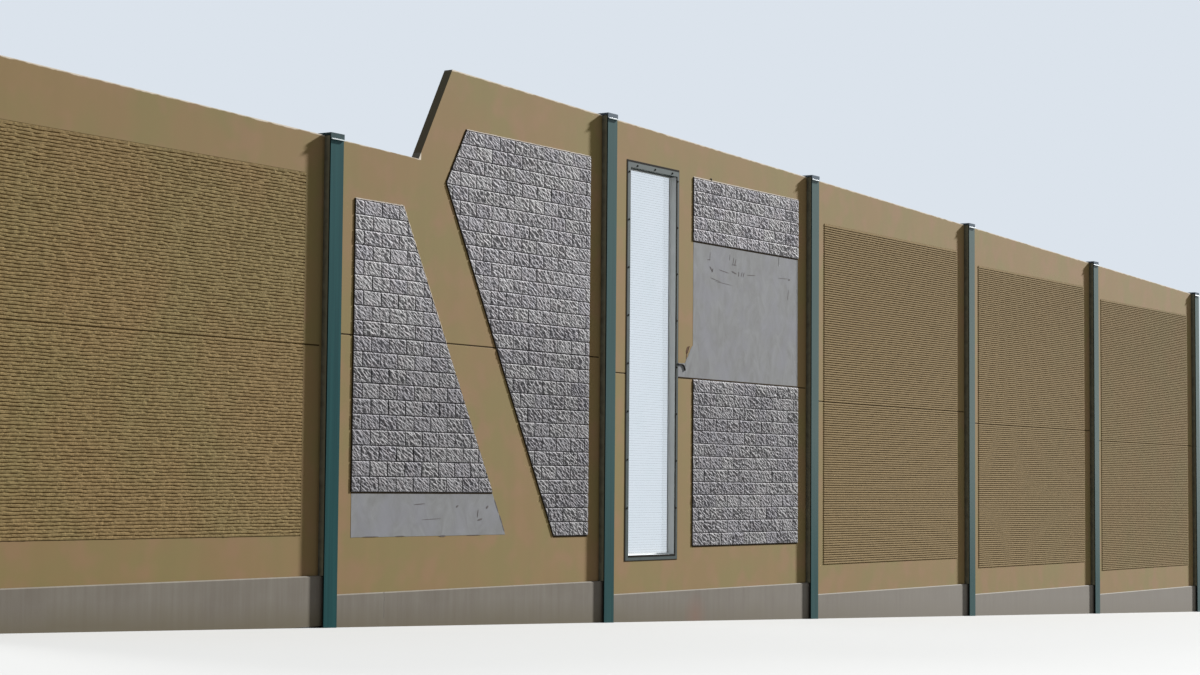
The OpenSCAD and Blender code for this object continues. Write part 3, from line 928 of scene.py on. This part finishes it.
def put_along(piece, begin, end, y):
    """Lays a mesh that runs along X on a line between two points (x, z)."""
    return put(piece, begin[0], y, begin[1], math.atan2(end[1] - begin[1], end[0] - begin[0]))


def mortar_bead(begin, end, size, rough):
    """A ragged sloping bead along a line from begin to end, both (x, z)."""
    length = math.dist(begin, end)
    count = round(length / BEAD_STEP)
    step = length / count
    depth = FACE - STONE_FRONT + INTO_WALL
    bead = start_cube("bead", (step / 2, -depth / 2, size / 2), (step, depth, size))
    pick(bead, "VERT", lambda p: p.y < -depth / 2 and p.z > size / 2)
    move(y=depth * DRAWN_BACK)
    pick(bead, "FACE", lambda p: p.x < step * 0.1 or p.x > step * 0.9)
    bpy.ops.mesh.delete(type="FACE")
    close_edit(bead)
    repeat(bead, count, (step, 0, 0), use_merge_vertices=True, merge_threshold=WELD)
    start_edit(bead)
    pick_rim()
    bpy.ops.mesh.fill()
    close_edit(bead)
    put_along(bead, begin, end, BEAD_BACK)
    name_points(bead, "front", points_of(bead)[:, 1] < BEAD_MOVES)
    roughen(bead, bead_clouds, "Z", rough, "front")
    return bead


# %% Beads along the upper edges and the slanting one
OVERLAP = 0.002
low, high = stone_box["trapezoid"]
slope_top = high.x - LEAN * (high.z - low.z)
beads = [mortar_bead((low.x, high.z - OVERLAP), (slope_top, high.z - OVERLAP), 0.012, 0.012)]
# Down the slanting edge the bead is wider and rougher, and it ends at the joint of the panels
slope_joint = (slope_top + LEAN * (high.z - joint_z[2]), joint_z[2])
beads.append(mortar_bead((slope_top - OVERLAP, high.z), slope_joint, 0.020, 0.026))
for name, left, size, rough in (("pentagon", top_left[0], 0.013, 0.012),
                                ("strip", stone_box["strip"][0].x, 0.014, 0.016)):
    high = stone_box[name][1]
    beads.append(mortar_bead((left, high.z - OVERLAP), (high.x, high.z - OVERLAP), size, rough))
hand_over(join(beads, "mortar_beads"), mortar)

# %% [markdown]
# ## Bare concrete where stone has fallen
# In two places the stone and the skin it was cast with have dropped off, and the grey core
# shows. It lies nearly flush, softly blotched, with traces of the bond, and at one corner the
# tan margin has broken away with it. Each area is a thin sheet: a grid cut to shape, its torn
# edge made ragged, given a thickness by Solidify and laid into the wall's face.

# %% Bare core concrete: grey, blotched, faintly streaked by the trowel
core, tree, place = new_material("bare_core_concrete", rough=0.85, gloss=0.28)
streak = streaks(tree, place, (5, 5, 3), 5, Roughness=0.6, Distortion=1.2)
blotch = add(tree, "TexNoise", {"Vector": place, "Scale": 2.4, "Detail": 3})
tone = coat(tree, colour("737372"), colour("818282"), streak, 0.34, 0.66)
tone = coat(tree, tone, colour("7e7e84"), blotch, 0.45, 0.65, most=0.6)
pores = add(tree, "TexNoise", {"Vector": place, "Scale": 60, "Detail": 3})
bump = add(tree, "Bump", {"Height": pores, "Strength": 0.2, "Distance": 0.002})
finish(core, {"Base Color": tone, "Normal": bump})

# %% Sheets of bare concrete
SHEET_Y, SHEET, SHEET_WAVE = FACE - 0.0015, 0.003, 0.0015
WIDE_CELL, FINE_CELL = 0.06, 0.015
# How far a sheet reaches under the stone, past a slanting cut and under the next sheet
UNDER_STONE, PAST_CUT, UNDER_SHEET = 0.01, 0.02, 0.005
core_clouds = clouds("core_wave", 0.25, depth=2)
torn_clouds = clouds("torn_edge", 0.05, depth=2)


def bare_sheet(name, x0, x1, z0, z1, cell, plane=None, torn=0.004):
    """A thin uneven sheet over a box of the wall's face, cut by a plane."""
    columns, rows = max(1, round((x1 - x0) / cell)), max(1, round((z1 - z0) / cell))
    sheet = start_grid(name, ((x0 + x1) / 2, SHEET_Y, (z0 + z1) / 2), x1 - x0, z1 - z0, columns, rows)
    close_edit(sheet)
    if plane:
        cut(sheet, *plane, fill=False)
    roughen(sheet, torn_clouds, "Z", torn)
    roughen(sheet, torn_clouds, "X", -torn)
    roughen(sheet, core_clouds, "Y", SHEET_WAVE)
    modify(sheet, "SOLIDIFY", thickness=SHEET, offset=-1)
    return sheet


left, foot = at_bay(2, 385, 567)
right_foot = at_bay(2, 1155 + LEAN * (4035 - 561), 561)
bare_2 = bare_sheet("bare_concrete_2", left, right_foot[0] + PAST_CUT, foot,
                    stone_box["trapezoid"][0].z + UNDER_STONE, WIDE_CELL, (right_foot, slope_out))
hand_over(bare_2, core)

left, foot = at_bay(3, 1958, 2640)
low, high = stone_box["strip"]
bare_3 = bare_sheet("bare_concrete_3", left, high.x, foot, low.z + UNDER_STONE, WIDE_CELL)
# The tan margin beside it has broken off on a slant, with a ledge at its foot
break_low, break_high = at_bay(3, 1775, 2815), at_bay(3, 1958, 3070)
climb = (break_high[0] - break_low[0], break_high[1] - break_low[1])
steep = bare_sheet("broken_margin", break_low[0], left + UNDER_SHEET, foot, break_high[1], FINE_CELL,
                   (break_low, Vector((-climb[1], climb[0])).normalized()), torn=0.03)
ledge = bare_sheet("broken_ledge", frame_high.x, break_low[0] + PAST_CUT, foot, break_low[1], FINE_CELL,
                   torn=0.02)
hand_over(join([bare_3, steep, ledge], "bare_concrete_3"), core)

# %% [markdown]
# ## Marks, cracks and a dark loop
# Small traces tell the wall's story: dried bond on the bare concrete, a crack in a plinth, and rust
# runs beside a broken corner, where a dark loop paints the shade in the hollow of the break. Each
# trace is a sliver, a cube drawn thin and pinched at its ends, copied by one function with its
# place, length and turn. Its shape is real, so it stays when the model is seen from close by.

# %% One sliver
TRACE, TRACE_LIFT, PINCH_FROM, PINCHED = 0.003, 0.0012, 0.4, 0.15


def sliver(bay, x_mm, z_mm, length_mm, width_mm, turn_deg, face=SHEET_Y - 0.0008):
    """A thin pinched trace on the wall, placed from the bay's left post and plinth top."""
    length, width = length_mm / 1000, width_mm / 1000
    piece = start_cube("sliver", (0, 0, 0), (length, TRACE, width))
    pick_all()
    bpy.ops.mesh.subdivide(number_cuts=3)
    for side in (-1, 1):
        pick(piece, "VERT", lambda p: p.x * side > length * PINCH_FROM)
        bpy.ops.transform.resize(value=(1, 1, PINCHED), center_override=(side * length / 2, 0, 0))
    close_edit(piece)
    x, z = at_bay(bay, x_mm, z_mm)
    return put(piece, x, face + TRACE_LIFT, z, math.radians(turn_deg))


# %% Dried bond on the bare concrete: dark and dull
bond = two_tone("dried_bond_residue", "4b4746", "6a6462", 40, 2, rough=0.9, gloss=0.2)
# Each mark: x, z, length and width in millimetres, turn in degrees
SCRATCHES_3 = [(2390, 4050, 95, 22, -40), (2420, 4035, 60, 18, 60), (2700, 4045, 260, 9, -6),
               (2960, 4050, 130, 16, -12), (3075, 4040, 70, 16, 80), (3150, 4040, 70, 14, 65),
               (3200, 4040, 75, 14, 65), (3400, 4050, 230, 9, 3), (2360, 4210, 110, 9, 85),
               (2330, 4165, 80, 10, 5), (2940, 4200, 90, 12, 75), (2990, 4185, 90, 14, 70),
               (2960, 4150, 120, 9, 0), (2700, 3890, 420, 6, -3), (2500, 3920, 260, 6, -8),
               (4403, 4068, 50, 22, 10), (4250, 4075, 300, 5, 2), (4376, 3864, 140, 11, 82),
               (2850, 4240, 80, 8, 85), (4120, 4290, 120, 8, 86)]
SCRATCHES_2 = [(2150, 880, 45, 20, 20), (2690, 870, 50, 26, 30), (1500, 905, 190, 8, 3),
               (2520, 800, 90, 14, 80), (1700, 745, 330, 6, 2), (2560, 735, 90, 20, 10),
               (700, 571, 260, 9, 0), (1180, 571, 170, 8, 0), (1900, 565, 120, 16, 0),
               (2450, 567, 260, 7, 0)]
LEANING_EDGE = [(2860, 880, 170, 12), (2945, 730, 120, 14), (2990, 640, 90, 10)]
lean_deg = -math.degrees(math.atan2(1, LEAN))
traces = [sliver(3, *mark) for mark in SCRATCHES_3] + [sliver(2, *mark) for mark in SCRATCHES_2]
traces += [sliver(2, *mark, lean_deg) for mark in LEANING_EDGE]
hand_over(join(traces, "bond_traces"), bond)

# %% Crack in the second plinth, and rust runs: flaking and brown, with no sheen
rust = two_tone("flaking_rust", "3a2a1e", "6e4a2e", 60, 3, rough=0.95, gloss=0.2)
CRACK = [(897, -22, 46, 5, 88), (900, -66, 50, 6, 96), (897, -112, 50, 5, 86), (896, -160, 54, 5, 92),
         (899, -208, 52, 6, 88), (896, -246, 34, 5, 80)]
RUNS = [(1830, 2985, 110, 50, 62), (1812, 2920, 110, 18, 80), (1866, 3020, 60, 14, 40)]
plinth_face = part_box("plinth_2")[0].y
crack = [sliver(2, *mark, face=plinth_face) for mark in CRACK]
hand_over(join(crack, "plinth_crack"), bond)
runs = [sliver(3, *mark, face=FACE - 0.001) for mark in RUNS]
hand_over(join(runs, "rust_runs"), rust)

# %% [markdown]
# The stub is a bent reinforcing bar, and the loop is shaped like one; the loop's dark colour is
# painted shade in the hollow. A disc of eight edges is spun through the bend and extruded along
# the straight ends, which is how a bar bends on site too.

# %% Bent bars, dull and nearly black: the stub blackened by weather, the loop painted shade
BAR_Y = FACE - 0.004
rebar_and_painted_shade = two_tone("rebar_steel_and_painted_shade", "1b1a19", "2e2a26", 60, 3, rough=0.8, gloss=0.25)


def bent_bar(name, begin, straight, bend_radius, bend_deg, tail, radius):
    """A bar that runs to the right, bends downwards and goes on for a tail."""
    bend = math.radians(bend_deg)
    bar = start(bpy.ops.mesh.primitive_circle_add, name, vertices=8, radius=radius, fill_type="NGON",
                location=begin, rotation=(0, math.pi / 2, 0))
    pick_all()
    extrude(x=straight)
    centre = Vector(begin) + Vector((straight, 0, -bend_radius))
    bpy.ops.mesh.spin(steps=6, angle=bend, center=centre, axis=(0, -1, 0))
    extrude(x=tail * math.cos(bend), z=-tail * math.sin(bend))
    pick_all()
    bpy.ops.mesh.remove_doubles(threshold=0.0001)
    bpy.ops.mesh.normals_make_consistent(inside=False)
    return close_edit(bar)


# The loop is painted shade: a dark bar where the hollow of the broken corner lies in shade
loop_x, loop_z = at_bay(3, 1600, 2802)
loop_as_painted_shade = bent_bar("loop_as_painted_shade", (loop_x, BAR_Y, loop_z), 0.09, 0.075, 75, 0.02, 0.012)
stub_x, stub_z = at_bay(3, 2375, 5205)
stub = bent_bar("stub", (stub_x - 0.01, BAR_Y, stub_z), 0.008, 0.012, 90, 0.045, 0.007)
hand_over(join([loop_as_painted_shade, stub], "bent_bars"), rebar_and_painted_shade)

# %% [markdown]
# ## Joint tape, painted stone shadows and the window's sealant
# Between a lower and an upper panel lies a compressed tape, brown with dirt. It shows as a dark
# line across the margins, above the sunlit chamfer. Along the stone fields' left and lower edges,
# where they cast their shadow, dark bars a finger wide paint that shadow. The window frame has
# dark sealant round it, thick at the left and top and thin elsewhere, and a gasket between its
# flange and right jamb. All are thin bars with rounded edges, made between two corners or turned
# along an edge.

# %% Tape in the joints between lower and upper panels
TAPE, TAPE_FRONT, TAPE_BACK = 0.008, FACE + 0.003, FACE + 0.009
FIELD_EDGE, REBATE = 0.381, 0.140
# Dirt in the joints, damp and dull brown; the same dark paints the shadows beside the stone
joint_dirt_and_shadow = two_tone("joint_dirt_and_painted_shadow", "2a1f0e", "3d2f17", 30, 3, rough=0.95, gloss=0.1, index=1.45)


def rounded_bar(name, low, high):
    """A straight bar between two corners, with its edges rounded."""
    low, high = Vector(low), Vector(high)
    piece = start_cube(name, (low + high) / 2, high - low)
    pick_all()
    bpy.ops.mesh.bevel(offset=min(high - low) * 0.3, segments=2, affect="EDGES")
    return close_edit(piece)


stretches = {b: [(REBATE, FIELD_EDGE), (BAY - FIELD_EDGE, BAY - REBATE)] for b in BAYS}
stretches[2] = [(REBATE, BAY - REBATE)]
stretches[3] = [(REBATE, frame_low.x - post_x[2]), (frame_high.x - post_x[2], BAY - REBATE)]
tapes = [rounded_bar("tape", (post_x[b - 1] + x0, TAPE_FRONT, joint_z[b] - TAPE),
                     (post_x[b - 1] + x1, TAPE_BACK, joint_z[b] + TAPE))
         for b in BAYS for x0, x1 in stretches[b]]
hand_over(join(tapes, "joint_tapes"), joint_dirt_and_shadow)


# %% Painted shadows along the stone's left and lower edges
def shadow_and_joint_bars(*path, width=0.016, out=0.003):
    """Dark bars along points (x, z); outside a field, running clockwise round it, they paint its shadow."""
    return [put_along(rounded_bar("gap", (0, -out, 0), (math.dist(begin, end), 0.001, width)),
                      begin, end, FACE) for begin, end in zip(path, path[1:])]


shadow_paths = {name: ((high.x, low.z), (low.x, low.z), (low.x, high.z))
             for name, (low, high) in stone_box.items()}
low, high = stone_box["pentagon"]
foot_left = corner[0] + LEAN * (corner[1] - low.z)
shadow_paths["pentagon"] = (high.x, low.z), (foot_left, low.z), corner, top_left
shadows_and_joint = [bar for path in shadow_paths.values() for bar in shadow_and_joint_bars(*path)]
# Under the bare concrete the joint stands open, from the window to the field's right edge
shadows_and_joint += shadow_and_joint_bars((frame_high.x, joint_z[3]), (stone_box["field"][1].x, joint_z[3]), width=0.014)
hand_over(join(shadows_and_joint, "stone_shadows_and_joint"), joint_dirt_and_shadow)

# %% Sealant round the window's flange, and the gasket at its right jamb and sill
FLANGE = 0.060
# Width of the bead at each side: thick at the left and top, thin at the right and foot
LEFT_BEAD, TOP_BEAD, RIGHT_BEAD, FOOT_BEAD, BEAD_OUT, GASKET = 0.024, 0.026, 0.005, 0.010, 0.004, 0.024
# Silicone: nearly black and dull
sealing = two_tone("dark_silicone_sealant", "120f0a", "211c12", 20, 3, rough=0.8, gloss=0.06, index=1.45)
left, right, foot, top = frame_low.x, frame_high.x, frame_low.z, frame_high.z
edges = [((left - LEFT_BEAD, foot), (left, top)),
         ((right, foot), (right + RIGHT_BEAD, top)),
         ((left - LEFT_BEAD, top), (right + RIGHT_BEAD, top + TOP_BEAD)),
         ((left - LEFT_BEAD, foot - FOOT_BEAD), (right + RIGHT_BEAD, foot))]
sealant = [rounded_bar("bead", (a[0], FACE - BEAD_OUT, a[1]), (b[0], FACE + 0.001, b[1])) for a, b in edges]
inner_right, inner_foot = right - FLANGE, foot + FLANGE
rims = [((inner_right, inner_foot), (inner_right + GASKET, top - FLANGE)),
        ((left + FLANGE, inner_foot - GASKET), (inner_right + GASKET, inner_foot))]
sealant += [rounded_bar("gasket", (a[0], frame_low.y - 0.002, a[1]), (b[0], frame_low.y + 0.001, b[1]))
            for a, b in rims]
hand_over(join(sealant, "window_sealant"), sealing)

# %% Rolled hems along the caps' front and back edges
HEM, HEM_OUT = 0.010, 0.003
hems = []
for k in range(7):
    low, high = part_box(f"post_cap_{k}")
    for face_y, out in ((low.y, -HEM_OUT), (high.y, HEM_OUT)):
        y0, y1 = sorted((face_y - out / 3, face_y + out))
        hems.append(rounded_bar("hem", (low.x, y0, low.z), (high.x, y1, low.z + HEM)))
hand_over(join(hems, "cap_hems"), hem_zinc_and_highlight)

# %% [markdown]
# ## Window: screws and threads
# Screws with dark washers hold the flange. Polyamide threads 2 mm thick lie in the acrylic every
# 30 mm, so that the pane holds together when it breaks, and birds see it.

# %% Screws with washers
SCREW_STEP, FLANGE_MIDDLE, FIRST_SCREW, LAST_SCREW = 0.58, 0.03, 0.12, 0.05
WASHER, WASHER_RADIUS = 0.004, 0.012
screw = start(bpy.ops.mesh.primitive_cylinder_add, "screw", vertices=12, radius=WASHER_RADIUS,
              depth=WASHER, rotation=(math.pi / 2, 0, 0))
pick(screw, "FACE", lambda p: p.y < -0.0015)
bpy.ops.mesh.inset(thickness=0.005)
extrude(y=-0.004)
bpy.ops.mesh.inset(thickness=0.002)
extrude(y=0.0015)
close_edit(screw)
places = [(frame_low.x + x, frame_high.z - FLANGE_MIDDLE) for x in (0.21, 0.605, 1.0)]
for x in (frame_low.x + FLANGE_MIDDLE, frame_high.x - FLANGE_MIDDLE):
    z = frame_high.z - FIRST_SCREW
    while z > frame_low.z + LAST_SCREW:
        places.append((x, z))
        z -= SCREW_STEP
screws = []
for x, z in places:
    twin = bpy.data.objects.new("screw", screw.data.copy())
    scene.collection.objects.link(twin)
    screws.append(put(twin, x, frame_low.y - WASHER / 2, z))
bpy.data.objects.remove(screw)
hand_over(join(screws, "flange_screws"), sealing)

# %% Threads in the pane
THREAD_STEP, THREAD, CLEARANCE = 0.030, 0.001, 0.004
# Polyamide: translucent grey, smooth
polyamide = two_tone("grey_polyamide_thread", "5c666a", "7c8688", 3, 1, rough=0.4, gloss=0.4, index=1.53)
pane_low, pane_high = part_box("window_pane")
middle_x, middle_y = (pane_low.x + pane_high.x) / 2, (pane_low.y + pane_high.y) / 2
thread = start(bpy.ops.mesh.primitive_cylinder_add, "pane_threads", vertices=6, radius=THREAD,
               depth=pane_high.x - pane_low.x - CLEARANCE,
               location=(middle_x, middle_y, pane_low.z + THREAD_STEP), rotation=(0, math.pi / 2, 0))
pick_all()
bpy.ops.mesh.bevel(offset=THREAD * 0.3, segments=1, affect="EDGES")
close_edit(thread)
repeat(thread, int((pane_high.z - pane_low.z) / THREAD_STEP) - 1, (0, 0, THREAD_STEP))
hand_over(thread, polyamide)

# %% Helpers removed, and the last numbers
for helper in (stretched, chisel):
    bpy.data.objects.remove(helper)
print("added", sum(triangles(piece) for piece in added), "triangles in", len(added), "pieces")
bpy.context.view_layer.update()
print("whole script", round(time.time() - started, 1), "s")
